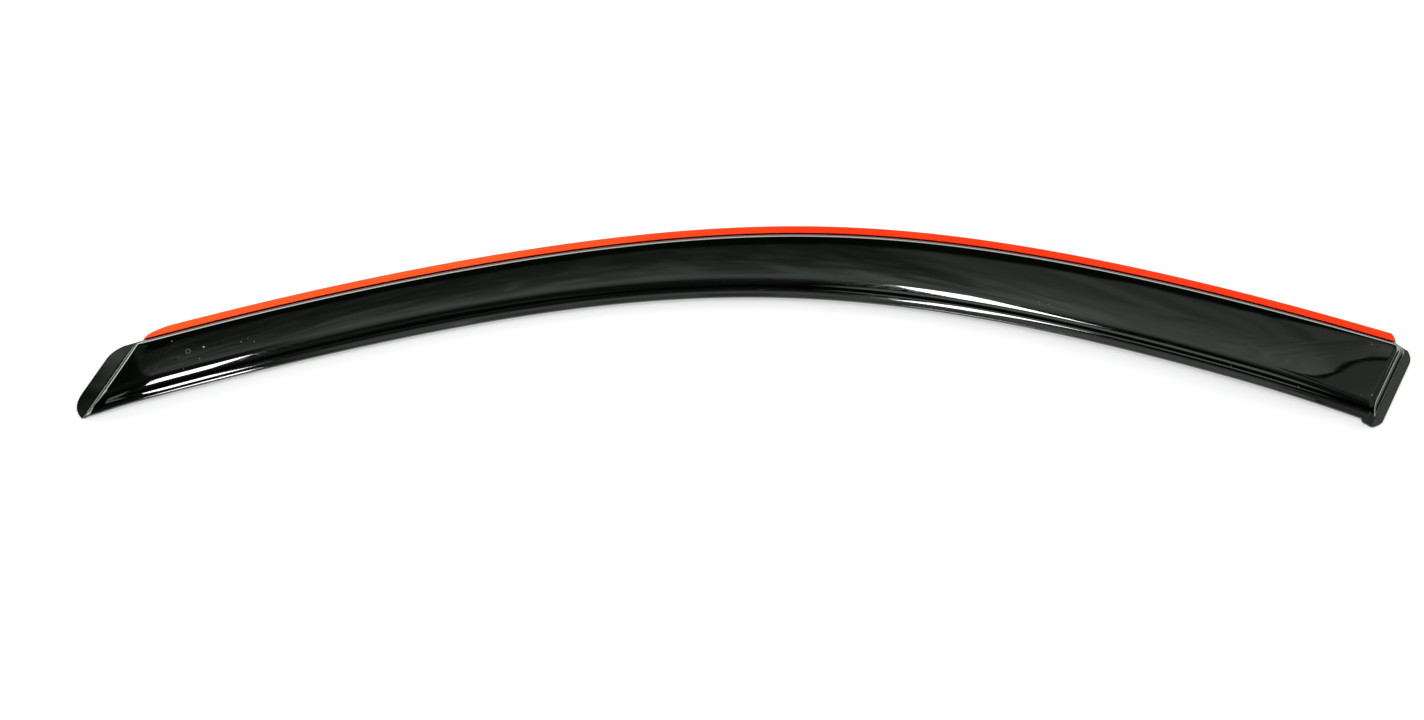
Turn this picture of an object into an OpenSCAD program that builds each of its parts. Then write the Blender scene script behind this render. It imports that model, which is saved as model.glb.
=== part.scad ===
// In-channel window rain deflector, lying on its flange and end tabs, outer face up.
// X runs along the length with the pointed front end at -X, Y runs across with the
// flange edge at +Y, and the glass plane is Z = 0.

/* [Sheet] */
// Thickness of the acrylic sheet
sheet_t = 2.5; // [2:0.1:3]
// Radius of the bend at the top of the step, measured on the outer face
ridge_r = 5; // [4:0.1:6.5]
// Radius of the bend at the foot of the step, measured on the outer face
foot_r = 0.8; // [0.6:0.1:1.5]

/* [Flange edge] */
// Length of the flange edge along X, between the two end foot lines
flange_len = 920; // [800:1:1000]
// Distance of the crown from the front foot line, along X
crown_x = 505; // [400:1:600]
// Slope of the whole edge, positive where the rear rises
edge_lean = -0.038; // [-0.1:0.001:0.1]
// Slope that each straight run has against the lean
edge_bend = 0.18; // [0.1:0.01:0.3]
// Half the length of the crown's bend along X
edge_reach = 200; // [120:1:300]
// Radius of the slow bow along the whole edge
edge_bow_r = 2880; // [2000:10:6000]

/* [Lip edge] */
// Width of the part at the crown, from flange edge to lip edge
blade_w = 60.7; // [55:0.1:80]
// Distance of the lip's crown from the front foot line, along X
lip_crown_x = 465; // [400:1:560]
// Slope of the whole lip edge
lip_lean = -0.0325; // [-0.05:0.0005:0.02]
// Slope that each straight run of the lip edge has against the lean
lip_bend = 0.37; // [0.35:0.01:0.42]
// Half the length of the lip crown's bend along X
lip_reach = 303; // [280:1:400]
// Radius of the slow bow along the whole lip edge
lip_bow_r = 19000; // [9000:100:40000]

/* [Flange and step] */
// Width of the flat flange, from its edge to the foot of the step
flange_w = 6.0; // [6:0.1:8]
// Height of the step over the flange
step_h = 6.0; // [5.5:0.1:8]
// Angle of the step's wall against the flange, in degrees
step_angle = 60; // [50:1:70]
// Plan radius of the step's corner at the front end
corner_r_front = 5; // [3:0.5:12]
// Plan radius of the step's corner at the rear end
corner_r_rear = 9; // [3:0.5:14]

/* [Blade] */
// Angle at which the blade leaves the step, in degrees
blade_tilt = 11; // [5:0.5:14]
// Distance over which the blade comes up from the front end
rise_run_front = 36; // [20:1:60]
// Distance over which the blade comes up from the rear end
rise_run_rear = 90; // [50:1:140]

/* [Groove and lip] */
// Width of the flat lip along the body
lip_w = 2.5; // [1.5:0.1:5]
// Width of the flat lip at the front end
lip_front_w = 0.4; // [0.3:0.1:1.5]
// Distance from the front foot line over which the lip widens
lip_grow = 250; // [100:5:400]
// How far the lip's edge flares up along the body
lip_flare = 0.3; // [0:0.1:1]
// Height by which the lip lies below the blade
groove_h = 4.6; // [4:0.1:5]
// Angle of the wall between the blade and the lip, in degrees
groove_angle = 36; // [30:1:45]
// Largest radius of the bend at the top of that wall, on the outer face
groove_top_r = 13.5; // [10:0.5:16]
// Largest radius of the bend at the foot of that wall, on the outer face
groove_r = 7.5; // [5:0.5:10]

/* [Ends] */
// Slant of the front end against Y, in degrees
front_slant = 29; // [15:0.5:35]
// Slant of the rear end against Y, in degrees
rear_slant = 27; // [15:0.5:35]
// Width of the front end tab
front_tab_w = 11.5; // [8:0.1:14]
// Width of the rear end tab
rear_tab_w = 6.2; // [6.1:0.1:10]
// Radius of the front tab's upper corner
front_tab_r = 6.5; // [4:0.1:10]
// Length over which the front tab's lower corner rounds off
front_tab_low_r = 19; // [8:0.1:24]
// Length over which the rear tab's upper corner rounds off
rear_tab_r = 10; // [6:0.1:16]
// Length over which the rear tab's lower corner rounds off
rear_tab_low_r = 7; // [4:0.1:12]
// How far the front tab's top lies below the flange's foot
front_notch = 0.5; // [0:0.1:4]
// How far the rear tab's top lies below the flange's foot
rear_notch = 3.5; // [0:0.1:5]
// Distance of the flange's front end from the front foot line
front_relief = 4.2; // [3:0.1:8]
// Distance of the flange's rear end from the rear foot line
rear_relief = 8; // [3:0.1:11]
// How far the flange's front corner is rounded back along its edge
front_cut = 17; // [4:0.5:24]
// How far the flange's rear corner is rounded back along its edge
rear_cut = 5; // [4:0.5:20]
// How sharply the front corner's rounding bends
front_cut_power = 3.5; // [1:0.1:5]
// How sharply the rear corner's rounding bends
rear_cut_power = 1.6; // [1:0.1:4]
// How far the front end falls short of the lip edge's line
front_low_in = 2.0; // [0:0.1:3]
// Distance from the front foot line over which the lip edge falls back
front_low_run = 12; // [9:0.5:16]
// How far the rear end runs past the lip edge's line
rear_low_out = 3.0; // [0:0.1:4]
// Distance from the rear foot line over which the lip edge runs out
rear_low_run = 7.6; // [6:0.1:12]

/* [Tape] */
// Width of the foam tape
tape_w = 5.5; // [4.5:0.1:5.5]
// Thickness of the foam tape
tape_t = 0.9; // [0.6:0.1:1.6]
// Distance of the tape from the flange edge
tape_inset = 0.4; // [0.3:0.05:0.5]
// Distance of the tape's ends from the flange's ends
tape_end_gap = 1.6; // [1.3:0.1:3]
// Thickness of the release liner
liner_t = 0.2; // [0.1:0.05:0.3]
// How far the liner runs past each end of the tape
liner_over = 1.2; // [0:0.1:1.3]

/* [Hidden] */

// Segments along each fillet, across the blade and along the body
foot_steps = 3;
ridge_steps = 4;
blade_steps = 7;
body_steps = 64;
// Fractions of a tab's width at which it has a row of points, from its edge to its foot
tab_parts = [1, 0.82, 0.55, 0.25];
// The least width that a tab's rounded corner leaves
tab_least_w = 1;
// The least height of the straight wall that the groove's bends leave
groove_least_wall = 0.3;
// Distances from the end step at which the body has extra sections
end_parts = [2, 6, 11, 18, 28];
// Distances from the edge at which the flange has rows, as fractions of its width
flange_parts = [0, 0.15, 0.35, 0.65];
// Sections nearer than this to a flange's end are left out
section_gap = 0.3;
// Distance below the flange's foot over which the rows spread for a tab's notch
notch_fade = 14;
// How sharply the lip edge leaves its line near the front and the rear end
front_low_power = 0.6;
rear_low_power = 6;
// Points across each end of the tape
tape_end_steps = 6;
// Solving for where a slanted line meets the lip edge takes this many passes
solve_passes = 10;

// A crown between two nearly straight runs
function crown_y(x, cx, y0, lean, bend, reach, bow_r) =
    let (q = x - cx)
    y0 + lean * q - bend * (sqrt(q * q + reach * reach) - reach) - q * q / (2 * bow_r);
function crown_slope(x, cx, lean, bend, reach, bow_r) =
    let (q = x - cx)
    lean - bend * q / sqrt(q * q + reach * reach) - q / bow_r;

function top_y(x) = crown_y(x, crown_x, 0, edge_lean, edge_bend, edge_reach, edge_bow_r);
function top_slope(x) = crown_slope(x, crown_x, edge_lean, edge_bend, edge_reach, edge_bow_r);
function lip_y(x) = crown_y(x, lip_crown_x, -blade_w, lip_lean, lip_bend, lip_reach, lip_bow_r);
function lip_slope(x) = crown_slope(x, lip_crown_x, lip_lean, lip_bend, lip_reach, lip_bow_r);

// Where the slanted line from the flange edge at x0 meets the lip edge
function lip_meet(x0, slant, x, passes) =
    passes == 0 ? x : lip_meet(x0, slant, x0 + (lip_y(x) - top_y(x0)) * tan(slant), passes - 1);

function unit(v) = v / norm(v);
function into_part(slope) = unit([slope, -1]);

// A formed step: a foot fillet, a straight wall and a ridge fillet
function step_run(h, angle, r_foot, r_ridge) = h / tan(angle) + (r_foot + r_ridge) * tan(angle / 2);
function step_height(d, h, angle, r_foot, r_ridge) =
    let (run = step_run(h, angle, r_foot, r_ridge))
    d <= 0 ? 0
    : d < r_foot * sin(angle) ? r_foot - sqrt(r_foot * r_foot - d * d)
    : d < run - r_ridge * sin(angle) ? r_foot * (1 - cos(angle)) + (d - r_foot * sin(angle)) * tan(angle)
    : d < run ? h - r_ridge + sqrt(r_ridge * r_ridge - (run - d) * (run - d))
    : h;
function step_places(h, angle, r_foot, r_ridge) =
    let (run = step_run(h, angle, r_foot, r_ridge))
    [
        for (k = [1 : foot_steps]) r_foot * sin(angle * k / foot_steps),
        for (k = [ridge_steps : -1 : 0]) run - r_ridge * sin(angle * k / ridge_steps)
    ];

// A low step has no straight wall: its two fillets then meet at a lesser angle
function wall_angle(h, angle, r_foot, r_ridge) =
    min(angle, acos(max(-1, 1 - h / (r_foot + r_ridge))));

function smooth(v) = v <= 0 ? 0 : v >= 1 ? 1 : v * v * (3 - 2 * v);
// The lesser of two distances, with a rounded corner where they meet
function round_least(a, b, r) =
    a < r && b < r ? r - sqrt((r - a) * (r - a) + (r - b) * (r - b)) : min(a, b);
// How much a corner takes off a width, at this distance from the edge: as an arc of
// radius r, or as a parabola that tapers over the length r
function corner_loss(d, r) =
    d >= r ? 0 : d <= 0 ? r : r - sqrt(r * r - (r - d) * (r - d));
function taper_loss(d, r, w) = (w - tab_least_w) * pow(min(1, max(0, 1 - d / r)), 2);

// The groove's two bends are limited by the height of its wall. The glass side runs parallel
// to the outer face, so its bends have the same centres. The radii are those at the foot and
// the top of the step, then at the foot and the top of the groove's wall
groove_fit = min(1,
    (groove_h - groove_least_wall) / ((groove_r + groove_top_r) * (1 - cos(groove_angle))));
groove_foot = groove_r * groove_fit;
groove_top = groove_top_r * groove_fit;
outer_radii = [foot_r, ridge_r, groove_foot, groove_top];
inner_radii = [foot_r + sheet_t, ridge_r - sheet_t, groove_foot + sheet_t, groove_top - sheet_t];

front_lip_x = lip_meet(0, front_slant, 0, solve_passes);
rear_lip_x = lip_meet(flange_len, rear_slant, flange_len, solve_passes);
step_len = step_run(step_h, step_angle, foot_r, ridge_r);
groove_len = step_run(groove_h, groove_angle, groove_foot, groove_top);

// Sections along the body. Each is [x on the flange edge, x on the lip edge, distance from
// the nearer end's foot line, tab part, is it the rear end, share of the tab's notch]
function section_places(radii) = concat(
    [0], step_places(step_h, step_angle, radii[0], radii[1]), [for (d = end_parts) step_len + d]);
all_places = section_places(outer_radii);
inner_places = section_places(inner_radii);
last_place = all_places[len(all_places) - 1];
function end_places(relief) = concat(
    [for (e = all_places) if (e < relief - section_gap) e],
    [relief],
    [for (e = all_places) if (e > relief + section_gap) e]);
function places_before(places, relief) = len([for (e = places) if (e < relief) e]);
function notch_part(e, relief) = max(0, 1 - e / relief);
function front_section(e) =
    let (run = e / cos(front_slant))
    [run, front_lip_x + run, e, 0, false, notch_part(e, front_relief)];
function rear_section(e) =
    let (run = e / cos(rear_slant))
    [flange_len - run, rear_lip_x - run, e, 0, true, notch_part(e, rear_relief)];
body_first = front_section(last_place);
body_last = rear_section(last_place);
function body_section(u) =
    let (x = (1 - u) * body_first[0] + u * body_last[0])
    let (xl = (1 - u) * body_first[1] + u * body_last[1])
    [x, xl, min(x * cos(front_slant), (flange_len - x) * cos(rear_slant)), 0, u > 0.5, 0];
front_ends = end_places(front_relief);
rear_ends = end_places(rear_relief);
sections = concat(
    [for (p = tab_parts) [0, front_lip_x, 0, p, false, 1]],
    [for (e = front_ends) front_section(e)],
    [for (k = [1 : body_steps - 1]) body_section(k / body_steps)],
    [for (k = [len(rear_ends) - 1 : -1 : 0]) rear_section(rear_ends[k])],
    [for (k = [len(tab_parts) - 1 : -1 : 0]) [flange_len, rear_lip_x, 0, tab_parts[k], true, 1]]);
// The same sections on the glass side, at the places of its own bends
function inner_section(s) =
    let (e = s[2] > last_place ? s[2]
        : lookup(s[2], [for (k = [0 : len(all_places) - 1]) [all_places[k], inner_places[k]]]))
    let (run = (e - s[2]) / cos(s[4] ? rear_slant : front_slant) * (s[4] ? -1 : 1))
    [s[0] + run, s[1] + run, e, s[3], s[4], s[5]];

// Rows across the part. Each is [kind, value]: a distance from the flange edge, a fraction
// across the blade, a distance from the lip's flat, or a fraction of the lip's width
FROM_TOP = 0;
ACROSS = 1;
IN_GROOVE = 2;
ON_LIP = 3;
function row_list(radii) =
    let (groove_places = step_places(groove_h, groove_angle, radii[2], radii[3]))
    concat(
        [for (q = flange_parts) [FROM_TOP, q * flange_w]],
        [[FROM_TOP, flange_w]],
        [for (d = step_places(step_h, step_angle, radii[0], radii[1])) [FROM_TOP, flange_w + d]],
        [for (k = [1 : blade_steps - 1]) [ACROSS, k / blade_steps]],
        [for (k = [len(groove_places) - 1 : -1 : 0]) [IN_GROOVE, groove_places[k]]],
        [[ON_LIP, 1], [ON_LIP, 0]]);
rows = row_list(outer_radii);
inner_rows = row_list(inner_radii);
foot_row = len(flange_parts);
n_rows = len(rows);
n_sections = len(sections);
first_flange = len(tab_parts) + places_before(front_ends, front_relief);
last_flange = n_sections - 1 - len(tab_parts) - places_before(rear_ends, rear_relief);

// The flange's corners are rounded back, which moves its rows inwards near its ends
function flange_shift(s, from_edge) =
    let (relief = s[4] ? rear_relief : front_relief)
    let (near = min(1, max(0, (last_place - s[2]) / (last_place - relief))))
    let (part = max(0, 1 - from_edge / flange_w))
    near * (s[4] ? -rear_cut * pow(part, rear_cut_power) : front_cut * pow(part, front_cut_power));

// A tab's top lies a notch below the flange's foot: this lowers the rows near it
function notch_shift(s, d) =
    d < 0 ? 0 : (s[4] ? rear_notch : front_notch) * s[5] * max(0, 1 - d / notch_fade);

// How far the lip edge runs past its line near an end. At the front the groove goes with it
function low_shift(s) = s[4]
    ? rear_low_out * (1 - pow(min(1, s[2] / rear_low_run), rear_low_power))
    : -front_low_in * (1 - pow(min(1, s[2] / front_low_run), front_low_power));

// The lip's flat widens from the front end
function lip_width(s) =
    s[4] ? lip_w : lip_front_w + (lip_w - lip_front_w) * smooth(s[2] / lip_grow);

// Plan position of one row on one section, its distances from the two edges, how far it is
// across the blade, the blade's width there, and how far the lip edge runs out on its own
function place(s, row) =
    let (a = [s[0], top_y(s[0])])
    let (b = [s[1], lip_y(s[1])])
    let (whole = norm(b - a) + (s[4] ? 0 : low_shift(s)))
    let (lip_out = s[4] ? low_shift(s) : 0)
    let (lip = lip_width(s))
    let (along = unit(b - a))
    let (k_top = 1 / (along * into_part(top_slope(s[0]))))
    let (k_lip = 1 / (along * into_part(lip_slope(s[1]))))
    let (blade_from = (flange_w + step_len) * k_top)
    let (blade_to = whole - (lip + groove_len) * k_lip)
    let (v0 = row[0] == FROM_TOP ? row[1] * k_top
        : row[0] == ACROSS ? blade_from + (blade_to - blade_from) * row[1]
        : row[0] == IN_GROOVE ? whole - (lip + row[1]) * k_lip
        : whole - row[1] * lip * k_lip + lip_out * (1 - row[1]))
    let (v = v0 + notch_shift(s, v0 / k_top - flange_w) * k_top)
    let (from_top = v / k_top, from_lip = (whole - v) / k_lip)
    let (foot_to_groove = blade_to - flange_w * k_top)
    let (part_across = (v - flange_w * k_top) / foot_to_groove)
    [a + along * v, from_top, from_lip, part_across, foot_to_groove, lip_out];

// Height of a face over its own flat on the flange and tabs
function height(s, at, radii) =
    let (corner = s[4] ? corner_r_rear : corner_r_front)
    let (d = round_least(at[1] - flange_w, s[2], corner))
    let (q = min(1, max(0, at[3])))
    let (up = min(1, s[2] / (s[4] ? rise_run_rear : rise_run_front)))
    let (rise = tan(blade_tilt) / 2 * at[4] * q * (2 - q) * up * (2 - up))
    let (lip = lip_width(s))
    let (groove_up = step_height(at[2] - lip, groove_h, groove_angle, radii[2], radii[3]))
    let (flare = lip_flare / lip_w * min(lip, max(0, lip - at[2])))
    let (h = step_h + rise - groove_h + groove_up + flare)
    let (angle = wall_angle(h, step_angle, radii[0], radii[1]))
    s[3] > 0 ? 0 : step_height(d, h, angle, radii[0], radii[1]);

// Tabs run out from the foot line along the direction of the rows
function tab_offset(s, at) =
    let (w = s[4] ? rear_tab_w : front_tab_w)
    let (below_top = at[1] - flange_w - (s[4] ? rear_notch : front_notch))
    let (lost_low = taper_loss(at[2] + at[5], s[4] ? rear_tab_low_r : front_tab_low_r, w))
    let (lost_top = s[4] ? taper_loss(below_top, rear_tab_r, w)
        : corner_loss(below_top, front_tab_r))
    let (kept = w - lost_top - lost_low)
    let (slant = s[4] ? rear_slant : front_slant)
    let (q = min(1, max(0, at[3])))
    let (slope = (1 - q) * top_slope(s[0]) + q * lip_slope(s[1]))
    let (along_row = unit([1, slope]) * (s[4] ? 1 : -1))
    let (out = [cos(slant), -sin(slant)] * (s[4] ? 1 : -1))
    along_row * s[3] * max(tab_least_w, kept) / (along_row * out);

function face_point(s, row, radii, base) =
    let (at = place(s, row))
    let (side = s[3] > 0 ? tab_offset(s, at) : [0, 0])
    let (cut = row[0] == FROM_TOP ? flange_shift(s, row[1]) : 0)
    let (x = at[0][0] + side[0] + cut)
    let (y = at[0][1] + side[1] + cut * top_slope(s[0]))
    [x, y, base + height(s, at, radii)];

outer = [for (s = sections) [for (row = rows) face_point(s, row, outer_radii, sheet_t)]];
inner = [
    for (i = [0 : n_sections - 1]) [
        for (j = [0 : n_rows - 1])
            j <= foot_row || sections[i][2] == 0 ? [outer[i][j][0], outer[i][j][1], 0]
            : face_point(inner_section(sections[i]), inner_rows[j], inner_radii, 0)
    ]
];

function has_cell(i, j) =
    i >= 0 && i < n_sections - 1 && j >= 0 && j < n_rows - 1
    && (j >= foot_row || (i >= first_flange && i < last_flange));

// The part's plan box, over the points that are on the sheet
sheet_points = [
    for (i = [0 : n_sections - 1]) for (j = [0 : n_rows - 1])
        if (j >= foot_row || (i >= first_flange && i <= last_flange)) outer[i][j]
];
centre = [
    (min([for (p = sheet_points) p[0]]) + max([for (p = sheet_points) p[0]])) / 2,
    (min([for (p = sheet_points) p[1]]) + max([for (p = sheet_points) p[1]])) / 2
];

function flat_list(grid) = [for (line = grid) for (p = line) p];
function at_outer(i, j) = i * n_rows + j;
function at_inner(i, j) = n_sections * n_rows + i * n_rows + j;
function wall(p, q) = [
    [at_outer(q[0], q[1]), at_outer(p[0], p[1]), at_inner(p[0], p[1])],
    [at_outer(q[0], q[1]), at_inner(p[0], p[1]), at_inner(q[0], q[1])]
];
function short_way(i, j) =
    norm(outer[i][j] - outer[i + 1][j + 1]) <= norm(outer[i + 1][j] - outer[i][j + 1]);
function cell_faces(i, j) = short_way(i, j)
    ? [
        [at_outer(i, j), at_outer(i + 1, j), at_outer(i + 1, j + 1)],
        [at_outer(i, j), at_outer(i + 1, j + 1), at_outer(i, j + 1)],
        [at_inner(i, j), at_inner(i + 1, j + 1), at_inner(i + 1, j)],
        [at_inner(i, j), at_inner(i, j + 1), at_inner(i + 1, j + 1)]
    ]
    : [
        [at_outer(i, j), at_outer(i + 1, j), at_outer(i, j + 1)],
        [at_outer(i + 1, j), at_outer(i + 1, j + 1), at_outer(i, j + 1)],
        [at_inner(i, j), at_inner(i, j + 1), at_inner(i + 1, j)],
        [at_inner(i + 1, j), at_inner(i, j + 1), at_inner(i + 1, j + 1)]
    ];
function edge_faces(i, j) = concat(
    has_cell(i, j - 1) ? [] : wall([i, j], [i + 1, j]),
    has_cell(i + 1, j) ? [] : wall([i + 1, j], [i + 1, j + 1]),
    has_cell(i, j + 1) ? [] : wall([i + 1, j + 1], [i, j + 1]),
    has_cell(i - 1, j) ? [] : wall([i, j + 1], [i, j]));

// A strip on the flange, from one distance from its edge to another, whose ends follow
// the flange's ends
function flange_point(s, d) =
    let (p = face_point(s, [FROM_TOP, d], outer_radii, sheet_t))
    [p[0], p[1]];
function strip_outline(d0, d1, end_gap) =
    let (first = front_section(front_relief + end_gap))
    let (last = rear_section(rear_relief + end_gap))
    let (between = [for (s = sections) if (s[0] > first[0] + end_gap && s[0] < last[0] - end_gap) s])
    let (n = len(between))
    concat(
        [for (k = [0 : tape_end_steps]) flange_point(first, d1 + (d0 - d1) * k / tape_end_steps)],
        [for (s = between) flange_point(s, d0)],
        [for (k = [0 : tape_end_steps]) flange_point(last, d0 + (d1 - d0) * k / tape_end_steps)],
        [for (k = [n - 1 : -1 : 0]) flange_point(between[k], d1)]);

module visor_shell() {
    color([0.07, 0.08, 0.07])
        translate([-centre[0], -centre[1], 0])
            polyhedron(
                points = concat(flat_list(outer), flat_list(inner)),
                faces = [
                    for (i = [0 : n_sections - 2]) for (j = [0 : n_rows - 2]) if (has_cell(i, j))
                        for (f = concat(cell_faces(i, j), edge_faces(i, j))) f
                ],
                convexity = 6);
}

module foam_tape() {
    color([0.16, 0.16, 0.17])
        translate([-centre[0], -centre[1], sheet_t])
            linear_extrude(tape_t)
                polygon(strip_outline(tape_inset, tape_inset + tape_w, tape_end_gap));
}

module release_liner() {
    color([1.0, 0.33, 0.18])
        translate([-centre[0], -centre[1], sheet_t + tape_t])
            linear_extrude(liner_t)
                polygon(strip_outline(tape_inset, tape_inset + tape_w, tape_end_gap - liner_over));
}

visor_shell();
foam_tape();
release_liner();
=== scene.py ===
import math

import bpy
import numpy as np
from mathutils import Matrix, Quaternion, Vector

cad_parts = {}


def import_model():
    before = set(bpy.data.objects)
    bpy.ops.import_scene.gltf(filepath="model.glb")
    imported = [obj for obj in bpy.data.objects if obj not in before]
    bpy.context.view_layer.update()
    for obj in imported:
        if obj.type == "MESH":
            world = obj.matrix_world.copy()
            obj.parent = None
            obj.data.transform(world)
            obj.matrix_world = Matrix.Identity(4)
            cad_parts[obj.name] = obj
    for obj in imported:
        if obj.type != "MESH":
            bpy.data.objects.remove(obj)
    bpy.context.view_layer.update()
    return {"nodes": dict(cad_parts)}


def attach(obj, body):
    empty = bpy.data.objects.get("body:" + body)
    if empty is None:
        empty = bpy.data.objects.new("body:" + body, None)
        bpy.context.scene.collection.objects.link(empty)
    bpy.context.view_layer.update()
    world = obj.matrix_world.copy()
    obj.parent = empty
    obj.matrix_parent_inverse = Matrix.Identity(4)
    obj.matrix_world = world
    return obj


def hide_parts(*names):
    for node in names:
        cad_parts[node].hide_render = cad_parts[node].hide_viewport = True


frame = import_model()

# Driving sizes of the sheet, in millimetres and degrees, in the CAD's construction frame
SHEET_T = 2.5
RIDGE_R = 5.0
FOOT_R = 0.8
FLANGE_LEN = 920.0
TOP = dict(cx=505.0, y0=0.0, lean=-0.038, bend=0.18, reach=200.0, bow=2880.0)
LIP = dict(cx=465.0, y0=-60.7, lean=-0.0325, bend=0.37, reach=303.0, bow=19000.0)
FLANGE_W = 6.0
STEP_H = 6.0
STEP_ANGLE = math.radians(60)
CORNER_R = (5.0, 9.0)
BLADE_TILT = math.radians(10.97)
RISE_RUN = (36.0, 90.0)
LIP_W = 2.5
LIP_FRONT_W = 0.4
LIP_GROW = 250.0
LIP_SLOPE = (-0.32, 0.03)
GROOVE_H = 4.6
GROOVE_TOP_R = 13.5
GROOVE_R = 7.5
GROOVE_ANGLE = math.radians(36)
SLANT = (math.radians(29), math.radians(27))
TAB_W = (11.38, 6.08)
TAB_LOW = (19.0, 7.0)
FRONT_TAB_R = 6.5
REAR_TAB_R = 10.0
NOTCH = (0.5, 3.5)
RELIEF = (4.2, 8.0)
CUT = (17.0, 5.0)
CUT_POWER = (3.5, 1.6)
LOW_OUT = (-2.0, 3.0)
LOW_RUN = (12.0, 7.6)
LOW_POWER = (0.6, 6.0)
TAPE_W = 5.5
TAPE_T = 0.9
TAPE_INSET = 0.4
TAPE_END_GAP = 1.6
LINER_T = 0.2
LINER_OVER = 1.2
NOTCH_FADE = 14.0
TAB_LEAST = 1.0

# Roundings of the trimmed edges and of the strips' long edges, and the height of the liner's ripple
TRIM_R = 0.28
TAPE_EDGE_R = 0.2
LINER_EDGE_R = 0.04
LINER_RIPPLE = 0.03

# The lip's face slopes down at the pointed end. It levels out from the first distance, over the second
LIP_TURN = (60, 230)

# How finely the skin is divided. The three counts of a bend are for its low bend, wall and high bend
BODY_STEPS = 230
BLADE_STEPS = 24
END_BENDS = (6, 2, 12)
STEP_BENDS = (7, 2, 14)
GROOVE_BENDS = (14, 2, 16)
TRIM_PARTS = (0.03, 0.13, 0.29, 0.5, 0.75, 1.0)
TAB_PARTS = (0.075, 0.13, 0.22, 0.34, 0.48, 0.62, 0.76, 0.88)
LIP_PARTS = (0.8, 0.62, 0.46, 0.32, 0.21, 0.13, 0.07, 0.03, 0.0)
STRIP_EDGE_PARTS = (0.1, 0.35, 1)
STRIP_ROWS = 9
# Sections next to an end's step and farther in: from, to and spacing
NEXT_TO_STEP = (0.7, 8, 0.8)
FARTHER_IN = (8, 30, 1.8)
# Rows on the flange: how far the first lies from its edge and the last from the step, and their count
FLANGE_FIRST = 0.9
FLANGE_LAST = 0.5
FLANGE_ROWS = 6
# About the width of a tab, which turns the trim's widths into parts of it
TAB_MEAN_W = 9
# Least distance between the trim's own sections and the others, and at the strips' ends
CLEAR_OF_TRIM = 0.12
CLEAR_OF_END = 0.6


def crown_y(x, c):
    q = x - c["cx"]
    root = np.sqrt(q * q + c["reach"] ** 2)
    return c["y0"] + c["lean"] * q - c["bend"] * (root - c["reach"]) - q * q / (2 * c["bow"])


def crown_slope(x, c):
    q = x - c["cx"]
    return c["lean"] - c["bend"] * q / np.sqrt(q * q + c["reach"] ** 2) - q / c["bow"]


def lip_meet(x0, slant):
    x = x0
    for _ in range(10):
        x = x0 + (crown_y(x, LIP) - crown_y(x0, TOP)) * math.tan(slant)
    return x


def smooth(v):
    v = np.clip(v, 0, 1)
    return v * v * (3 - 2 * v)


def step_run(h, angle, foot, ridge):
    return h / np.tan(angle) + (foot + ridge) * np.tan(angle / 2)


def step_height(d, h, angle, foot, ridge):
    run = step_run(h, angle, foot, ridge)
    low = foot - np.sqrt(np.maximum(0, foot * foot - np.clip(d, 0, foot) ** 2))
    mid = foot * (1 - np.cos(angle)) + (d - foot * np.sin(angle)) * np.tan(angle)
    left = np.clip(run - d, 0, ridge)
    high = h - ridge + np.sqrt(np.maximum(0, ridge * ridge - left * left))
    z = np.where(d < foot * np.sin(angle), low, np.where(d < run - ridge * np.sin(angle), mid, high))
    return np.where(d <= 0, 0, np.where(d >= run, h, z))


def step_places(h, angle, foot, ridge, foot_n, wall_n, ridge_n):
    run = step_run(h, angle, foot, ridge)
    low = foot * np.sin(angle * np.arange(1, foot_n + 1) / foot_n)
    high = run - ridge * np.sin(angle * np.arange(ridge_n, -1, -1) / ridge_n)
    wall = np.linspace(low[-1], high[0], wall_n + 2)[1:-1]
    return np.concatenate([low, wall, high])


def round_least(a, b, r):
    arc = r - np.sqrt((r - np.minimum(a, r)) ** 2 + (r - np.minimum(b, r)) ** 2)
    return np.where((a < r) & (b < r), arc, np.minimum(a, b))


def corner_loss(d, r):
    d = np.clip(d, 0, r)
    return r - np.sqrt(np.maximum(0, r * r - (r - d) ** 2))


def taper_loss(d, r, w):
    return (w - TAB_LEAST) * np.clip(1 - d / r, 0, 1) ** 2


OUTER = (FOOT_R, RIDGE_R, GROOVE_R, GROOVE_TOP_R)
INNER = (FOOT_R + SHEET_T, RIDGE_R - SHEET_T, GROOVE_R + SHEET_T, GROOVE_TOP_R - SHEET_T)
FRONT_LIP_X = lip_meet(0.0, SLANT[0])
REAR_LIP_X = lip_meet(FLANGE_LEN, SLANT[1])
STEP_LEN = step_run(STEP_H, STEP_ANGLE, FOOT_R, RIDGE_R)
GROOVE_LEN = step_run(GROOVE_H, GROOVE_ANGLE, GROOVE_R, GROOVE_TOP_R)
FROM_TOP, ACROSS, IN_GROOVE, ON_LIP = 0, 1, 2, 3
TRIM = TRIM_R * np.array(TRIM_PARTS)


# One section along the part: x on the flange edge, x on the lip edge, distance from the
# end's foot line, tab part, end (0 front, 1 rear), share of the notch
def end_section(e, end, tab=0.0):
    run = e / math.cos(SLANT[end])
    notch = max(0.0, 1 - e / RELIEF[end])
    if end == 0:
        return [run, FRONT_LIP_X + run, e, tab, 0, notch]
    return [FLANGE_LEN - run, REAR_LIP_X - run, e, tab, 1, notch]


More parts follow.
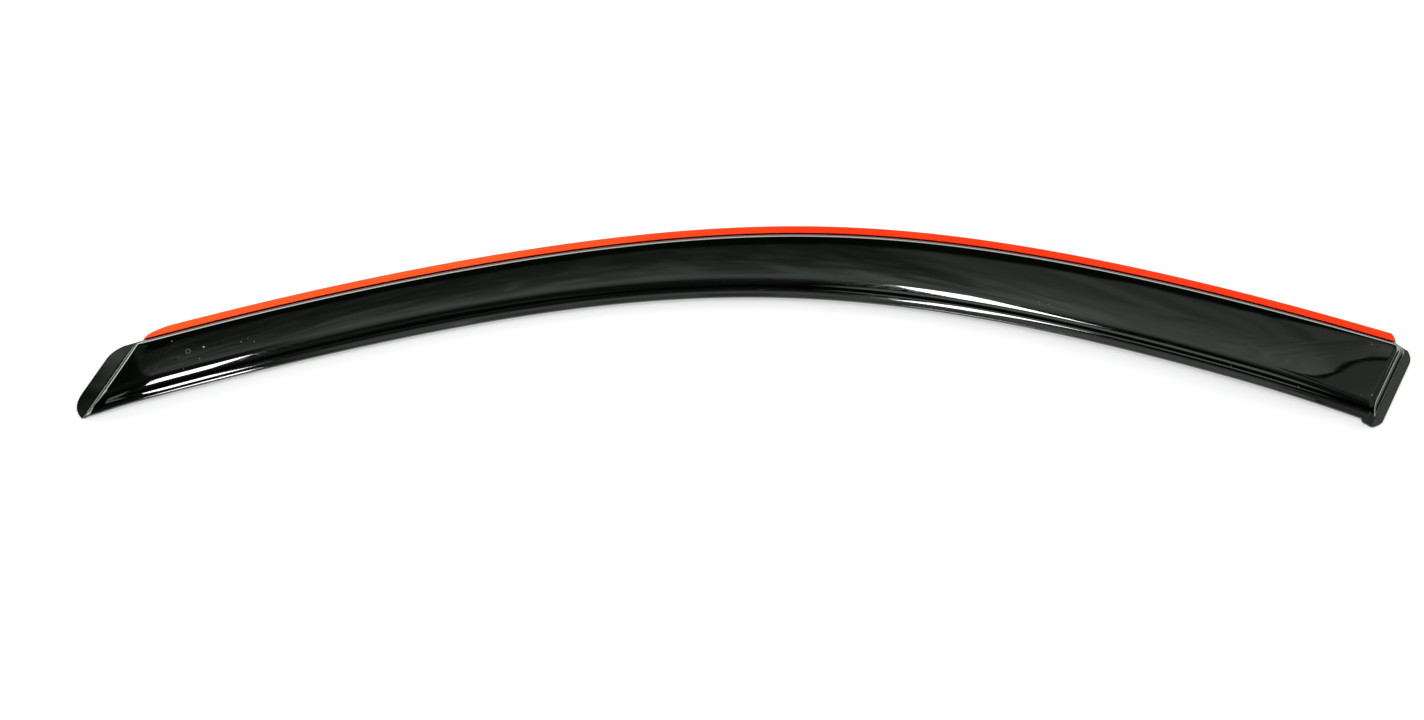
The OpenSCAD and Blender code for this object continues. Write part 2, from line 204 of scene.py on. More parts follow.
def section_lists():
    spots = {}
    for side, radii in (("outer", OUTER), ("inner", INNER)):
        bends = step_places(STEP_H, STEP_ANGLE, radii[0], radii[1], *END_BENDS)
        after = STEP_LEN + np.concatenate([np.arange(*NEXT_TO_STEP), np.arange(*FARTHER_IN)])
        spots[side] = np.concatenate([[0], bends, after])
    last = spots["outer"][-1]
    ends = []
    for end in (0, 1):
        extra = RELIEF[end] + np.concatenate([[0], TRIM])
        kept = [e for e in spots["outer"]
                if e < RELIEF[end] - CLEAR_OF_TRIM or e > extra[-1] + CLEAR_OF_TRIM]
        ends.append(np.sort(np.concatenate([kept, extra])))
    tabs = 1 - np.concatenate([[0], TRIM / TAB_MEAN_W, TAB_PARTS])
    first = end_section(last, 0)
    final = end_section(last, 1)
    body = []
    for k in range(1, BODY_STEPS):
        u = k / BODY_STEPS
        x = (1 - u) * first[0] + u * final[0]
        xl = (1 - u) * first[1] + u * final[1]
        e = min(x * math.cos(SLANT[0]), (FLANGE_LEN - x) * math.cos(SLANT[1]))
        body.append([x, xl, e, 0, int(u > 0.5), 0])
    rows = [end_section(0, 0, p) for p in tabs]
    rows += [end_section(e, 0) for e in ends[0]]
    rows += body
    rows += [end_section(e, 1) for e in ends[1][::-1]]
    rows += [end_section(0, 1, p) for p in tabs[::-1]]
    outer = np.array(rows, float)
    inner = outer.copy()
    e = outer[:, 2]
    moved = np.where(e > last, e, np.interp(e, spots["outer"], spots["inner"]))
    sign = np.where(outer[:, 4] > 0, -1, 1)
    run = (moved - e) / np.where(outer[:, 4] > 0, math.cos(SLANT[1]), math.cos(SLANT[0])) * sign
    inner[:, 0] += run
    inner[:, 1] += run
    inner[:, 2] = moved
    first_flange = len(tabs) + int(np.searchsorted(ends[0], RELIEF[0] - 1e-9))
    last_flange = len(rows) - 1 - len(tabs) - int(np.searchsorted(ends[1], RELIEF[1] - 1e-9))
    return outer, inner, first_flange, last_flange, last


SECTIONS, INNER_SECTIONS, FIRST_FLANGE, LAST_FLANGE, LAST_PLACE = section_lists()


def row_list(radii):
    flange = np.linspace(FLANGE_FIRST, FLANGE_W - FLANGE_LAST, FLANGE_ROWS)
    flange = np.concatenate([[0], TRIM, flange])
    step = step_places(STEP_H, STEP_ANGLE, radii[0], radii[1], *STEP_BENDS)
    groove = step_places(GROOVE_H, GROOVE_ANGLE, radii[2], radii[3], *GROOVE_BENDS)
    rows = [(FROM_TOP, q) for q in flange] + [(FROM_TOP, FLANGE_W)]
    rows += [(FROM_TOP, FLANGE_W + d) for d in step]
    rows += [(ACROSS, k / BLADE_STEPS) for k in range(1, BLADE_STEPS)]
    rows += [(IN_GROOVE, d) for d in groove[::-1]]
    rows += [(ON_LIP, 1)] + [(ON_LIP, d) for d in LIP_PARTS]
    return np.array(rows, float), len(flange)


ROWS, FOOT_ROW = row_list(OUTER)
INNER_ROWS, _ = row_list(INNER)


def pick(s, pair):
    return np.where(s[:, 4:5] > 0, pair[1], pair[0])


def lip_width(s):
    grown = LIP_FRONT_W + (LIP_W - LIP_FRONT_W) * smooth(s[:, 2:3] / LIP_GROW)
    return np.where(s[:, 4:5] > 0, LIP_W, grown)


def place(s, rows):
    x0, x1, e = s[:, 0:1], s[:, 1:2], s[:, 2:3]
    kind, value = rows[None, :, 0], rows[None, :, 1]
    ax, ay = x0, crown_y(x0, TOP)
    dx, dy = x1 - ax, crown_y(x1, LIP) - ay
    whole = np.hypot(dx, dy)
    ux, uy = dx / whole, dy / whole
    low = pick(s, LOW_OUT) * (1 - np.minimum(1, e / pick(s, LOW_RUN)) ** pick(s, LOW_POWER))
    st, sl = crown_slope(x0, TOP), crown_slope(x1, LIP)
    k_top = np.hypot(st, 1) / (ux * st - uy)
    k_lip = np.hypot(sl, 1) / (ux * sl - uy)
    blade_from = (FLANGE_W + STEP_LEN) * k_top
    lip = lip_width(s)
    whole = whole + np.where(s[:, 4:5] > 0, 0, low)
    low = np.where(s[:, 4:5] > 0, low, 0)
    blade_to = whole - (lip + GROOVE_LEN) * k_lip
    from_lip = np.where(kind == ON_LIP, whole - value * lip * k_lip + low * (1 - value),
                        whole - (lip + value) * k_lip)
    across = blade_from + (blade_to - blade_from) * value
    v = np.where(kind == FROM_TOP, value * k_top, np.where(kind == ACROSS, across, from_lip))
    d = v / k_top - FLANGE_W
    notch = pick(s, NOTCH) * s[:, 5:6] * np.maximum(0, 1 - d / NOTCH_FADE)
    v = v + np.where(d < -1e-9, 0, notch) * k_top
    width = blade_to - FLANGE_W * k_top
    return dict(x=ax + ux * v, y=ay + uy * v, top=v / k_top, lip=(whole - v) / k_lip,
                q=(v - FLANGE_W * k_top) / width, width=width, low=low, st=st, sl=sl, lip_w=lip)


def height(s, at, radii):
    d = round_least(at["top"] - FLANGE_W, s[:, 2:3] + 0 * at["top"], pick(s, CORNER_R))
    q = np.clip(at["q"], 0, 1)
    up_end = np.minimum(1, s[:, 2:3] / pick(s, RISE_RUN))
    rise = math.tan(BLADE_TILT) / 2 * at["width"] * q * (2 - q) * up_end * (2 - up_end)
    up = step_height(at["lip"] - at["lip_w"], GROOVE_H, GROOVE_ANGLE, radii[2], radii[3])
    turn = np.where(s[:, 4:5] > 0, 1, smooth((s[:, 2:3] - LIP_TURN[0]) / LIP_TURN[1]))
    slope = LIP_SLOPE[0] * (1 - turn) + LIP_SLOPE[1] * turn
    flare = slope * np.clip(at["lip_w"] - at["lip"], 0, at["lip_w"])
    h = STEP_H + rise - GROOVE_H + up + flare
    angle = np.minimum(STEP_ANGLE, np.arccos(np.maximum(-1, 1 - h / (radii[0] + radii[1]))))
    z = step_height(d, h, angle, radii[0], radii[1])
    return np.where(s[:, 3:4] > 0, 0, z)


def tab_reach(s, at):
    w = pick(s, TAB_W)
    below = at["top"] - FLANGE_W - pick(s, NOTCH)
    lost_low = taper_loss(at["lip"] + at["low"], pick(s, TAB_LOW), w)
    lost_top = np.where(s[:, 4:5] > 0, taper_loss(below, REAR_TAB_R, w), corner_loss(below, FRONT_TAB_R))
    return np.maximum(TAB_LEAST, w - lost_top - lost_low)


def face_points(s, rows, radii, base):
    at = place(s, rows)
    sign = np.where(s[:, 4:5] > 0, 1, -1)
    slant = pick(s, SLANT)
    q = np.clip(at["q"], 0, 1)
    slope = (1 - q) * at["st"] + q * at["sl"]
    ux, uy = 1 / np.hypot(1, slope), slope / np.hypot(1, slope)
    along = ux * np.cos(slant) - uy * np.sin(slant)
    out = sign * s[:, 3:4] * tab_reach(s, at) / along
    relief = pick(s, RELIEF)
    near = np.clip((LAST_PLACE - s[:, 2:3]) / (LAST_PLACE - relief), 0, 1)
    part = np.where(rows[None, :, 0] == FROM_TOP, np.maximum(0, 1 - rows[None, :, 1] / FLANGE_W), 0)
    cut = -sign * near * pick(s, CUT) * part ** pick(s, CUT_POWER)
    x = at["x"] + ux * out + cut
    y = at["y"] + uy * out + cut * at["st"]
    return np.stack([x, y, base + height(s, at, radii)], -1)


OUT = face_points(SECTIONS, ROWS, OUTER, SHEET_T)
INN = face_points(INNER_SECTIONS, INNER_ROWS, INNER, 0.0)
# The backs of the flange and the tabs lie flat, straight under their faces
on_floor = np.zeros(INN.shape[:2], bool)
on_floor[:, :FOOT_ROW + 1] = True
on_floor[SECTIONS[:, 2] == 0, :] = True
INN[on_floor, :2] = OUT[on_floor, :2]
INN[on_floor, 2] = 0

N_S, N_R = OUT.shape[:2]
cells = np.zeros((N_S - 1, N_R - 1), bool)
cells[:, FOOT_ROW:] = True
cells[FIRST_FLANGE:LAST_FLANGE, :FOOT_ROW] = True
used = np.zeros((N_S, N_R), bool)
for di in (0, 1):
    for dj in (0, 1):
        used[di:N_S - 1 + di, dj:N_R - 1 + dj] |= cells

# Centred as the CAD is: the middle of the CAD's box in plan
xy = OUT[used][:, :2]
CENTRE = (xy.min(0) + xy.max(0)) / 2


# The wall along the sheet's outline, as pairs of grid points in order around it
def outline_pairs():
    pad = np.zeros((N_S + 1, N_R + 1), bool)
    pad[1:N_S, 1:N_R] = cells
    pairs = []
    for i in range(N_S - 1):
        for j in range(N_R - 1):
            if not cells[i, j]:
                continue
            if not pad[i + 1, j]:
                pairs.append(((i, j), (i + 1, j)))
            if not pad[i + 2, j + 1]:
                pairs.append(((i + 1, j), (i + 1, j + 1)))
            if not pad[i + 1, j + 2]:
                pairs.append(((i + 1, j + 1), (i, j + 1)))
            if not pad[i, j + 1]:
                pairs.append(((i, j + 1), (i, j)))
    return pairs


PAIRS = outline_pairs()


def rim_distance(points, limit):
    """Plan distance of each point from the sheet's outline, up to a limit."""
    a = np.array([OUT[p][:2] for p, _ in PAIRS])
    b = np.array([OUT[q][:2] for _, q in PAIRS])
    best = np.full(len(points), limit)
    span = b - a
    length2 = np.maximum(1e-12, (span ** 2).sum(1))
    order = np.argsort(points[:, 0])
    batch = 1500
    for k in range(0, len(order), batch):
        ids = order[k:k + batch]
        p = points[ids]
        near = (np.maximum(a[:, 0], b[:, 0]) > p[:, 0].min() - limit)
        near &= (np.minimum(a[:, 0], b[:, 0]) < p[:, 0].max() + limit)
        if not near.any():
            continue
        rel = p[:, None, :] - a[None, near, :]
        t = np.clip((rel * span[None, near]).sum(-1) / length2[None, near], 0, 1)
        gap = np.hypot(*np.moveaxis(rel - t[..., None] * span[None, near], -1, 0))
        best[ids] = np.minimum(best[ids], gap.min(1))
    return best


# Rounded trim: points close to the outline come in from both faces
flat_out = OUT.reshape(-1, 3)
flat_inn = INN.reshape(-1, 3)
mask = used.reshape(-1)
for pts, sign in ((flat_out, -1), (flat_inn, 1)):
    d = rim_distance(pts[mask][:, :2], TRIM_R)
    drop = TRIM_R - np.sqrt(np.maximum(0, TRIM_R ** 2 - (TRIM_R - d) ** 2))
    moved = pts[mask]
    moved[:, 2] += sign * drop
    pts[mask] = moved


def make_mesh(name, verts_mm, faces):
    shift = np.array([CENTRE[0], CENTRE[1], 0.0])
    mesh = bpy.data.meshes.new(name)
    mesh.from_pydata(((verts_mm - shift) / 1000).tolist(), [], faces)
    mesh.validate()
    mesh.polygons.foreach_set("use_smooth", [True] * len(mesh.polygons))
    mesh.update()
    obj = bpy.data.objects.new(name, mesh)
    bpy.context.scene.collection.objects.link(obj)
    return obj


def shell_mesh():
    index = -np.ones((2, N_S, N_R), int)
    count = int(used.sum())
    index[0][used] = np.arange(count)
    index[1][used] = np.arange(count) + count
    verts = np.concatenate([OUT[used], INN[used]])
    faces = []
    for i, j in zip(*np.nonzero(cells)):
        a, b, c, d = (i, j), (i, j + 1), (i + 1, j + 1), (i + 1, j)
        faces.append([int(index[0][p]) for p in (a, b, c, d)])
        faces.append([int(index[1][p]) for p in (d, c, b, a)])
    for p, q in PAIRS:
        faces.append([int(index[0][p]), int(index[0][q]), int(index[1][q]), int(index[1][p])])
    return make_mesh("visor_skin", verts, faces)


shell = shell_mesh()


# Strips on the flange: rows across, with rounded long edges, and closed ends
def strip_mesh(name, z0, z1, end_gap, side_r, ripple):
    d0, d1 = TAPE_INSET, TAPE_INSET + TAPE_W
    lo = end_section(RELIEF[0] + end_gap, 0)
    hi = end_section(RELIEF[1] + end_gap, 1)
    inside = (SECTIONS[:, 0] > lo[0] + CLEAR_OF_END) & (SECTIONS[:, 0] < hi[0] - CLEAR_OF_END)
    inner = SECTIONS[inside & (SECTIONS[:, 3] == 0)]
    s = np.concatenate([[lo], inner, [hi]])
    rounded = side_r * np.array(STRIP_EDGE_PARTS)
    between = np.linspace(d0, d1, STRIP_ROWS)[1:-1]
    d = np.concatenate([[d0], d0 + rounded, between, d1 - rounded[::-1], [d1]])
    rows = np.stack([np.zeros(len(d)), d], -1)
    pts = face_points(s, rows, OUTER, 0.0)
    x = pts[..., 0]
    across = (d - d0) / (d1 - d0)
    edge = np.minimum(d - d0, d1 - d)
    drop = side_r - np.sqrt(np.maximum(0, side_r ** 2 - np.maximum(0, side_r - edge) ** 2))
    # Long and short ripples, deeper along the side next to the flange's edge
    wave = ripple * (np.sin(x / 17.0 + 1.3) * np.sin(x / 6.1) * 0.6 + 0.4 * np.sin(x / 2.9 + 4 * across))
    top = pts.copy()
    top[..., 2] = z1 - drop[None, :] - np.abs(wave) * (0.3 + 0.7 * (across[None, :] < 0.25))
    low = pts.copy()
    low[..., 2] = z0
    n, m = pts.shape[:2]
    ring = []
    for i in range(n - 1):
        ring.append(((i, 0), (i + 1, 0)))
        ring.append(((i + 1, m - 1), (i, m - 1)))
    for j in range(m - 1):
        ring.append(((0, j + 1), (0, j)))
        ring.append(((n - 1, j), (n - 1, j + 1)))
    idx = np.arange(n * m).reshape(n, m)
    faces = []
    for i in range(n - 1):
        for j in range(m - 1):
            faces.append([int(idx[i, j]), int(idx[i, j + 1]), int(idx[i + 1, j + 1]), int(idx[i + 1, j])])
            faces.append([int(n * m + idx[i + 1, j]), int(n * m + idx[i + 1, j + 1]),
                          int(n * m + idx[i, j + 1]), int(n * m + idx[i, j])])
    for p, q in ring:
        faces.append([int(idx[p]), int(idx[q]), int(n * m + idx[q]), int(n * m + idx[p])])
    verts = np.concatenate([top.reshape(-1, 3), low.reshape(-1, 3)])
    return make_mesh(name, verts, faces)


TAPE_TOP = SHEET_T + TAPE_T
LINER_END_GAP = TAPE_END_GAP - LINER_OVER
tape = strip_mesh("tape_foam", SHEET_T, TAPE_TOP, TAPE_END_GAP, TAPE_EDGE_R, 0.0)
liner = strip_mesh("tape_liner", TAPE_TOP, TAPE_TOP + LINER_T, LINER_END_GAP, LINER_EDGE_R, LINER_RIPPLE)


# Materials
class Nodes:
    """Short ways to add and link the nodes of one material or world."""

    def __init__(self, owner):
        self.tree = owner.node_tree
        self.tree.nodes.clear()

    def add(self, kind, **values):
        node = self.tree.nodes.new(kind)
        inputs = values.pop("inputs", {})
        for key, value in values.items():
            setattr(node, key, value)
        for key, value in inputs.items():
            if isinstance(value, bpy.types.NodeSocket):
                self.tree.links.new(value, node.inputs[key])
            else:
                node.inputs[key].default_value = value
        return node

    def math(self, op, a, b=0.0, clamp=False):
        node = self.add("ShaderNodeMath", operation=op, use_clamp=clamp, inputs={0: a, 1: b})
        return node.outputs[0]

    def plus(self, a, *others):
        for b in others:
            a = self.math("ADD", a, b)
        return a

    def minus(self, a, b):
        return self.math("SUBTRACT", a, b)

    def times(self, a, *others):
        for b in others:
            a = self.math("MULTIPLY", a, b)
        return a

    def most(self, a, b):
        return self.math("MAXIMUM", a, b)

    def ramp(self, value, stops):
        node = self.add("ShaderNodeValToRGB", inputs={0: value})
        ramp = node.color_ramp
        while len(ramp.elements) < len(stops):
            ramp.elements.new(0.5)
        for element, (at, colour) in zip(ramp.elements, stops):
            element.position = at
            element.color = (*colour, 1)
        return node.outputs[0]

    def span(self, value, a, b, c, d):
        """Value a to b turned into c to d, and held at both ends."""
        node = self.add("ShaderNodeMapRange", clamp=True,
                        inputs={"Value": value, "From Min": a, "From Max": b, "To Min": c, "To Max": d})
        return node.outputs[0]

    def line(self, value, points):
        """The height of a bent line at a value, held at both ends. Points are (value, height)."""
        (a, low), (b, high) = points[:2]
        height = self.span(value, a, b, low, high)
        for (a, low), (b, high) in zip(points[1:], points[2:]):
            height = self.plus(height, self.span(value, a, b, 0.0, high - low))
        return height

    def mix(self, fac, a, b):
        node = self.add("ShaderNodeMix", data_type="RGBA", inputs={0: fac, 6: a, 7: b})
        return node.outputs[2]

    def noise(self, vector, scale, detail, **more):
        inputs = {"Vector": vector, "Scale": scale, "Detail": detail, **more}
        return self.add("ShaderNodeTexNoise", inputs=inputs).outputs[0]

    def stretch(self, vector, scale, turn=(0, 0, 0)):
        inputs = {"Vector": vector, "Scale": scale, "Rotation": turn}
        return self.add("ShaderNodeMapping", inputs=inputs).outputs[0]

    def spot(self, x, y, z):
        return self.add("ShaderNodeCombineXYZ", inputs={0: x, 1: y, 2: z}).outputs[0]

    def distance(self, vector, place):
        node = self.add("ShaderNodeVectorMath", operation="DISTANCE", inputs={0: vector, 1: place})
        return node.outputs["Value"]

    def bump(self, strength, distance, height):
        inputs = {"Strength": strength, "Distance": distance, "Height": height}
        return self.add("ShaderNodeBump", inputs=inputs).outputs[0]

    def end(self, shader, kind="Material"):
        out = self.add("ShaderNodeOutput" + kind)
        self.tree.links.new(shader.outputs[0], out.inputs[0])


def new_material(name):
    material = bpy.data.materials.new(name)
    material.use_nodes = True
    return material, Nodes(material)


ACRYLIC_COLOUR = (0.0010, 0.0013, 0.0010, 1)
ACRYLIC_IOR = 1.49
DUST_COLOUR = (0.45, 0.46, 0.44, 1)
FOAM_COLOURS = [(0.3, (0.010, 0.010, 0.011)), (0.7, (0.022, 0.022, 0.023))]
# The liner is painted a little paler at the left: a painted sheen, where more light glances off it
LINER_COLOUR = (1.0, 0.030, 0.001, 1)
LINER_SHEEN_COLOUR = (1.0, 0.078, 0.012, 1)

# Larger specks of dust on the face: place and radius in millimetres, and how pale each is
SPECKS = [(-390.7, -23.0, 0.8, 1.0), (-414.2, -17.5, 0.5, 0.7), (-393.0, -32.5, 0.4, 0.6),
          (-404.0, -41.0, 0.35, 0.5), (-408.0, -32.0, 0.35, 0.5), (-364.0, -19.0, 0.5, 0.5),
          (-359.5, -16.5, 0.4, 0.5), (-354.5, -19.0, 0.4, 0.5), (452.0, -19.0, 0.5, 0.5),
          (448.5, -59.5, 0.5, 0.6), (440.5, -60.0, 0.35, 0.5), (396.5, -53.0, 0.5, 0.5),
          (349.0, -37.0, 0.4, 0.4), (212.5, 13.5, 0.35, 0.7), (220.0, 11.5, 0.35, 0.7)]

# A faint ring left by a drop: its middle and its radius, in millimetres
RING_AT = (-401.7, -26.4, 0)
RING_R = 1.7

# Metres turned into millimetres, in plan
TO_PLAN = (1000, 1000, 0)


def dust(n, coords, along):
    """How much dust lies at a point: fine specks at random, the larger ones and the ring."""
    # More of the fine specks lie towards the pointed end
    cell = n.add("ShaderNodeTexVoronoi", feature="F1",
                 inputs={"Vector": coords, "Scale": 62.0, "Randomness": 1.0})
    chance = n.add("ShaderNodeSeparateColor", inputs={0: cell.outputs["Color"]})
    lucky = n.math("LESS_THAN", chance.outputs[0], n.span(along, -0.46, -0.1, 0.16, 0.03))
    size = n.span(chance.outputs[1], 0, 1, 0.012, 0.05)
    inside = n.math("SUBTRACT", 1.0, n.math("DIVIDE", cell.outputs["Distance"], size), clamp=True)
    crumb = n.times(n.math("POWER", inside, 0.5), lucky)
    plan = n.add("ShaderNodeVectorMath", operation="MULTIPLY", inputs={0: coords, 1: TO_PLAN}).outputs[0]
    for x, y, radius, pale in SPECKS:
        away = n.distance(plan, (x, y, 0))
        crumb = n.most(crumb, n.span(away, radius * 0.5, radius, 1.4 * pale, 0.0))
    off_ring = n.math("ABSOLUTE", n.minus(n.distance(plan, RING_AT), RING_R))
    return n.most(crumb, n.span(off_ring, 0.1, 0.4, 0.35, 0.0))


def acrylic():
    material, n = new_material("smoke_acrylic")
    coords = n.add("ShaderNodeTexCoord").outputs["Object"]
    along = n.add("ShaderNodeSeparateXYZ", inputs={0: coords}).outputs[0]
    # Slow waves that forming leaves in the sheet, long along the part
    waves = n.noise(n.stretch(coords, (5.0, 22.0, 22.0)), 1.0, 2.0, Roughness=0.45, Distortion=0.6)
    # Hairline scuffs from handling
    scuffs = n.noise(n.stretch(coords, (60.0, 900.0, 900.0), (0, 0, 0.2)), 1.0, 3.0, Roughness=0.6)
    haze = n.noise(coords, 34.0, 4.0, Roughness=0.6)
    rough = n.plus(n.span(scuffs, 0.45, 0.8, 0.025, 0.06), n.span(haze, 0.4, 0.75, 0.0, 0.02))
    crumb = dust(n, coords, along)
    colour = n.mix(n.math("MULTIPLY", crumb, 0.55, clamp=True), ACRYLIC_COLOUR, DUST_COLOUR)
    n.end(n.add("ShaderNodeBsdfPrincipled", inputs={
        "Base Color": colour, "Roughness": n.plus(rough, n.times(crumb, 0.6)),
        "Normal": n.bump(0.3, 0.0007, waves), "IOR": ACRYLIC_IOR}))
    return material


def foam():
    material, n = new_material("dark_foam")
    coords = n.add("ShaderNodeTexCoord").outputs["Object"]
    pores = n.add("ShaderNodeTexVoronoi", inputs={"Vector": coords, "Scale": 2600.0}).outputs["Distance"]
    colour = n.ramp(n.noise(coords, 300.0, 3.0), FOAM_COLOURS)
    n.end(n.add("ShaderNodeBsdfPrincipled", inputs={
        "Base Color": colour, "Roughness": 0.9, "Normal": n.bump(0.5, 0.0002, pores)}))
    return material


def film():
    material, n = new_material("orange_liner")
    coords = n.add("ShaderNodeTexCoord").outputs["Object"]
    along = n.add("ShaderNodeSeparateXYZ", inputs={0: coords}).outputs[0]
    tone = n.noise(coords, 18.0, 3.0)
    fine = n.noise(coords, 420.0, 2.0)
    # Painted sheen: the liner's colour is paled towards the left end, with a random tone on top
    painted_sheen_to_left = n.span(along, -0.19, 0.04, 1.0, 0.0)
    pale = n.math("ADD", painted_sheen_to_left, n.span(tone, 0.3, 0.7, -0.15, 0.15), clamp=True)
    n.end(n.add("ShaderNodeBsdfPrincipled", inputs={
        "Base Color": n.mix(pale, LINER_COLOUR, LINER_SHEEN_COLOUR),
        "Roughness": n.span(tone, 0.3, 0.7, 0.42, 0.55),
        "Normal": n.bump(0.25, 0.0002, fine), "Specular IOR Level": 0.1}))
    return material


def paint(obj, material):
    obj.data.materials.clear()
    obj.data.materials.append(material)


for obj, node, slot, material in ((shell, "visor_shell", "smoke_acrylic", acrylic()),
                                  (tape, "foam_tape", "foam", foam()),
                                  (liner, "release_liner", "liner", film())):
    paint(obj, material)
    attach(obj, "root")
    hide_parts(node)
    paint(frame["nodes"][node], material)


# Floor, light and camera
FLOOR_SIZE = 14
FLOOR_DROP = 0.0003
FLOOR_GREY = 0.58
FLOOR_GLOW = 0.45


def floor():
    bpy.ops.mesh.primitive_plane_add(size=FLOOR_SIZE, location=(0, 0, -FLOOR_DROP))
    plane = bpy.context.object
    plane.name = "floor"
    material, n = new_material("pale_floor")
    path = n.add("ShaderNodeLightPath")
    # The floor's own glow shows to the camera and in reflections, and lights no matt surface
    seen = n.most(path.outputs["Is Camera Ray"], path.outputs["Is Glossy Ray"])
    seen = n.most(seen, path.outputs["Is Transmission Ray"])
    diffuse = n.add("ShaderNodeBsdfDiffuse", inputs={"Color": (FLOOR_GREY, FLOOR_GREY, FLOOR_GREY, 1)})
    glow = n.add("ShaderNodeEmission", inputs={"Color": (1, 1, 1, 1), "Strength": n.times(seen, FLOOR_GLOW)})
    both = n.add("ShaderNodeAddShader")
    n.tree.links.new(diffuse.outputs[0], both.inputs[0])
    n.tree.links.new(glow.outputs[0], both.inputs[1])
    n.end(both)
    paint(plane, material)


# Light of the room at each angle from straight up, in degrees: minus is towards the front.
# The second list is for the right side
ROOM = [(-42, 0.0), (-36, 0.07), (-10, 0.07), (-4, 0.25), (2, 0.60), (10, 1.00), (20, 1.05), (25, 0.92),
        (28.5, 0.66), (31.5, 0.42), (35, 0.25), (39, 0.17), (44.5, 0.15), (46, 0.0)]
ROOM_RIGHT = [(-42, 0.0), (-35, 0.25), (-12, 0.35), (-5, 0.50), (2, 0.80), (10, 1.05), (22, 1.15), (28, 1.05),
              (31, 0.90), (35, 0.58), (39, 0.48), (44.5, 0.45), (46, 0.0)]
ROOM_SPAN = (-45, 50)
ROOM_COLOUR = (0.88, 1.0, 0.89, 1)

# The ceiling's edges at the right and left, as points: an angle towards the back and one to the right
CORNER = [(5, 9.6), (20, 12.0), (26, 18.8), (29, 19.9), (36, 27.5)]
LEFT_EDGE = [(4, -1.1), (21, -5.8), (25, -11.0), (50, -37.3)]

# How far the ceiling's lines turn with the angle to the right, and between which angles
ASKEW = 0.09
ASKEW_SPAN = (-30, 15, -30, 15)

# Spans of the ceiling: two angles in degrees, and the values that they turn into
TO_RIGHT_LIST = (5.5, 7.5, 0.0, 1.0)
DIM_AT_LEFT = (-8, -4, 0.8, 1.0)
DIM_AT_RIGHT = (17.8, 19, 1.0, 0.75)
SEAM_WIDTH = (23, 26, 1.0, 0.4)
SEAM_INNER = (-1.1, -0.6, 1, 0)
SEAM_OUTER = (0.5, 1.2, 0.0, 0.50)
BACK_EDGE = (45, 46, 1, 0)
BACK_EDGE_AT_RIGHT = (17.5, 20.5, 0.0, 2.0)
LEFT_EDGE_SOFT = (-0.7, 0.5, 0.1, 1)


def ceiling(n, askew, side):
    """Light of the ceiling: the two lists, blended towards the right and dimmed at both sides."""
    low, high = ROOM_SPAN
    turned = n.span(askew, low, high, 0.0, 1.0)
    rooms = [n.ramp(turned, [((at - low) / (high - low), (level,) * 3) for at, level in stops])
             for stops in (ROOM, ROOM_RIGHT)]
    room = n.mix(n.span(side, *TO_RIGHT_LIST), *rooms)
    return n.times(room, n.span(side, *DIM_AT_LEFT), n.span(side, *DIM_AT_RIGHT))


def clouds(n, angle, side):
    """Soft clouds of light across the bright part of the ceiling."""
    slant = n.plus(n.times(angle, 0.26), n.times(side, 0.35))
    cloud = n.noise(n.spot(n.times(side, 0.75), slant, 5.2), 1.0, 2.5, Distortion=0.7)
    cloud = n.times(n.span(cloud, 0.44, 0.72, 0.0, 0.75), n.span(side, 8, 10, 1.0, 0.25))
    return n.times(cloud, n.times(n.span(angle, 10, 24, 0, 1), n.span(angle, 31, 40, 1, 0.2)))


def streaks(n, side, past):
    """Streaks of light that run beside the ceiling's corner."""
    streak = n.noise(n.spot(n.times(side, 0.12), n.times(past, 0.9), 1.3), 1.0, 2.0)
    return n.times(n.span(streak, 0.42, 0.66, 0.0, 0.25), n.span(side, 8, 12, 0, 1))


def beyond_corner(n, angle, past, seam):
    """Dimmer light beyond the ceiling's corner."""
    light = n.plus(n.span(seam, *SEAM_OUTER), n.span(past, 5, 8, 0.0, 0.25))
    light = n.minus(light, n.span(past, 14, 22, 0.0, 0.3))
    return n.times(light, n.times(n.span(angle, -40, -30, 0, 1), n.span(angle, 28, 34, 1, 0)))


def front_strip(n, angle, side):
    """A bright strip in front, a little to the left."""
    strip = n.times(n.span(angle, -38, -34, 0, 1), n.span(angle, -26, -22, 1, 0))
    return n.times(strip, n.times(n.span(side, -15, -12, 0, 2.0), n.span(side, -4, -2, 1, 0)))


def backdrops(n, x, y, z):
    """Bright backdrops low down: one behind, brighter at the left, and a lower one at the right."""
    back = n.times(n.span(y, 0.60, 0.66, 0, 1), n.span(x, -0.24, -0.08, 10.0, 8.0))
    back = n.times(back, n.span(z, 0.24, 0.34, 1.0, 0.0))
    right = n.times(n.span(x, 0.70, 0.78, 0.0, 7.0), n.span(z, 0.15, 0.24, 1.0, 0.0))
    return n.plus(back, right)


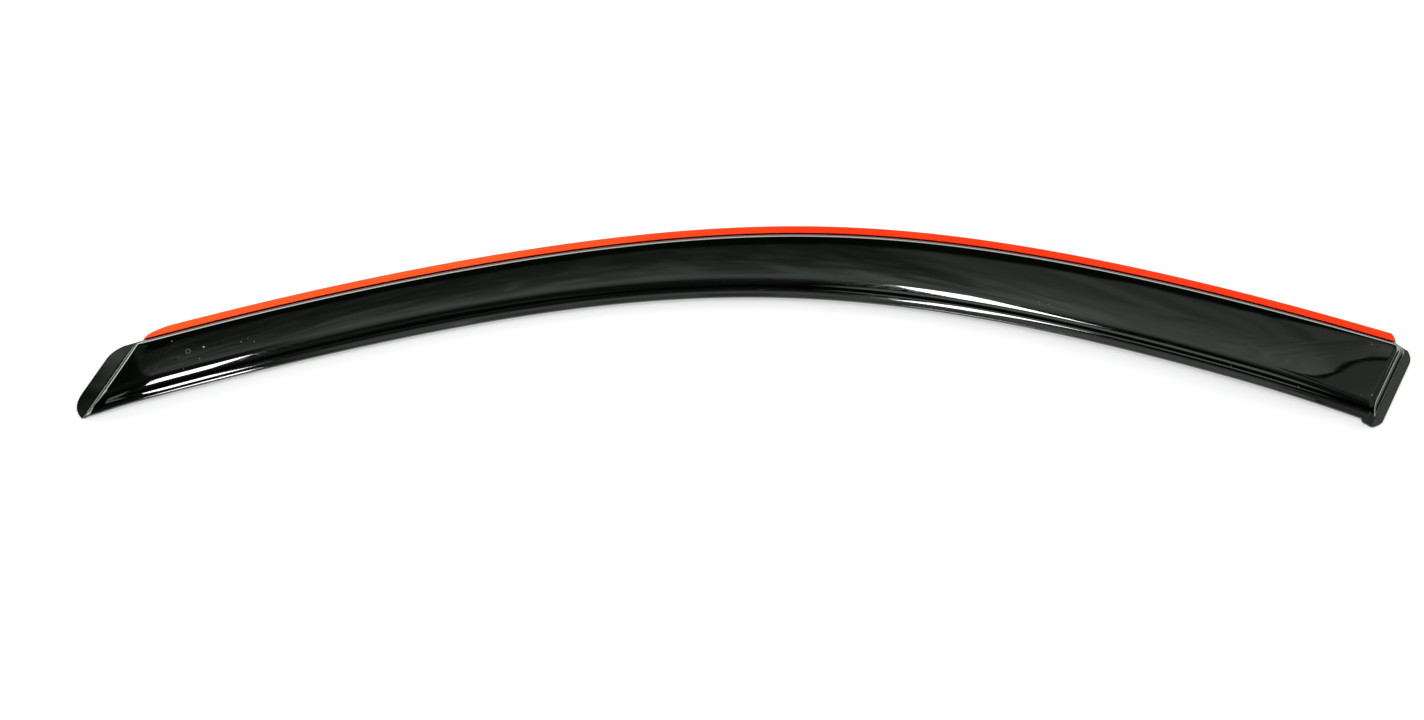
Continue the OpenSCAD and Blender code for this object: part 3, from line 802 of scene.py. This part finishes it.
def world():
    studio = bpy.data.worlds.new("studio")
    bpy.context.scene.world = studio
    studio.use_nodes = True
    n = Nodes(studio)
    way = n.add("ShaderNodeTexCoord").outputs["Generated"]
    x, y, z = n.add("ShaderNodeSeparateXYZ", inputs={0: way}).outputs
    # Angles from straight up: towards the back, and towards the right
    angle = n.times(n.math("ARCTAN2", y, z), 180 / math.pi)
    side = n.times(n.math("ARCTAN2", x, z), 180 / math.pi)
    askew = n.plus(angle, n.times(n.span(side, *ASKEW_SPAN), ASKEW))
    # A dark seam edges the rounded corner at the right, thinner towards its top
    past = n.minus(side, n.line(angle, CORNER))
    seam = n.math("DIVIDE", past, n.span(angle, *SEAM_WIDTH))
    inside = n.plus(ceiling(n, askew, side), clouds(n, angle, side), streaks(n, side, past))
    inside = n.times(inside, n.span(seam, *SEAM_INNER))
    # The back edge lies up to 2 degrees nearer at the right, and the left edge is slanted
    to_back = n.plus(askew, n.span(side, *BACK_EDGE_AT_RIGHT))
    inside = n.times(inside, n.span(to_back, *BACK_EDGE))
    from_left = n.minus(side, n.line(angle, LEFT_EDGE))
    inside = n.times(inside, n.span(from_left, *LEFT_EDGE_SOFT))
    ceiling_light = n.plus(inside, beyond_corner(n, angle, past, seam))
    level = n.plus(ceiling_light, n.plus(front_strip(n, angle, side), backdrops(n, x, y, z)))
    n.end(n.add("ShaderNodeBackground", inputs={"Color": ROOM_COLOUR, "Strength": level}), "World")


# Two long tubes overhead and a wide lamp at each side: name, place, aim, width, length, level and turn
LAMPS = [("tube_left", (-0.330, -0.42, 1.5), (-0.330, -0.42, 0), 0.10, 0.56, 45, 12),
         ("tube_right", (0.124, -0.12, 1.5), (0.124, -0.12, 0), 0.065, 0.72, 45, -6),
         ("side_right", (2.2, 0.9, 1.0), (0, 0, 0), 1.1, 1.1, 7, 0),
         ("side_left", (-2.2, 0.9, 1.0), (0, 0, 0), 1.1, 1.1, 7, 0)]


def lamp(name, spot, aim, width, length, level, turn):
    """A rectangular lamp of the given radiance. Turn is about its own axis, in degrees."""
    data = bpy.data.lights.new(name, "AREA")
    data.shape = "RECTANGLE"
    data.size = width
    data.size_y = length
    data.energy = level * width * length * math.pi
    obj = bpy.data.objects.new(name, data)
    obj.location = spot
    way = (Vector(aim) - Vector(spot)).to_track_quat("-Z", "Y")
    obj.rotation_euler = (way @ Quaternion((0, 0, 1), math.radians(turn))).to_euler()
    bpy.context.scene.collection.objects.link(obj)


# The camera looks at a point on the floor, from in front and above
CAMERA_AIM = (-0.024446, -0.027215, 0)
CAMERA_HEIGHT = math.radians(64)
CAMERA_AWAY = 2.353
SENSOR = 36
FOCAL_PIXELS = 3252
FRAME_PIXELS = 1424


def camera():
    data = bpy.data.cameras.new("view")
    data.lens = FOCAL_PIXELS / FRAME_PIXELS * SENSOR
    data.sensor_width = SENSOR
    data.clip_end = 50
    cam = bpy.data.objects.new("view", data)
    aim = Vector(CAMERA_AIM)
    cam.location = aim + Vector((0, -math.cos(CAMERA_HEIGHT), math.sin(CAMERA_HEIGHT))) * CAMERA_AWAY
    cam.rotation_euler = (aim - cam.location).to_track_quat("-Z", "Y").to_euler()
    bpy.context.scene.collection.objects.link(cam)
    bpy.context.scene.camera = cam


floor()
world()
for each in LAMPS:
    lamp(*each)
camera()
bpy.context.scene.view_settings.view_transform = "Standard"
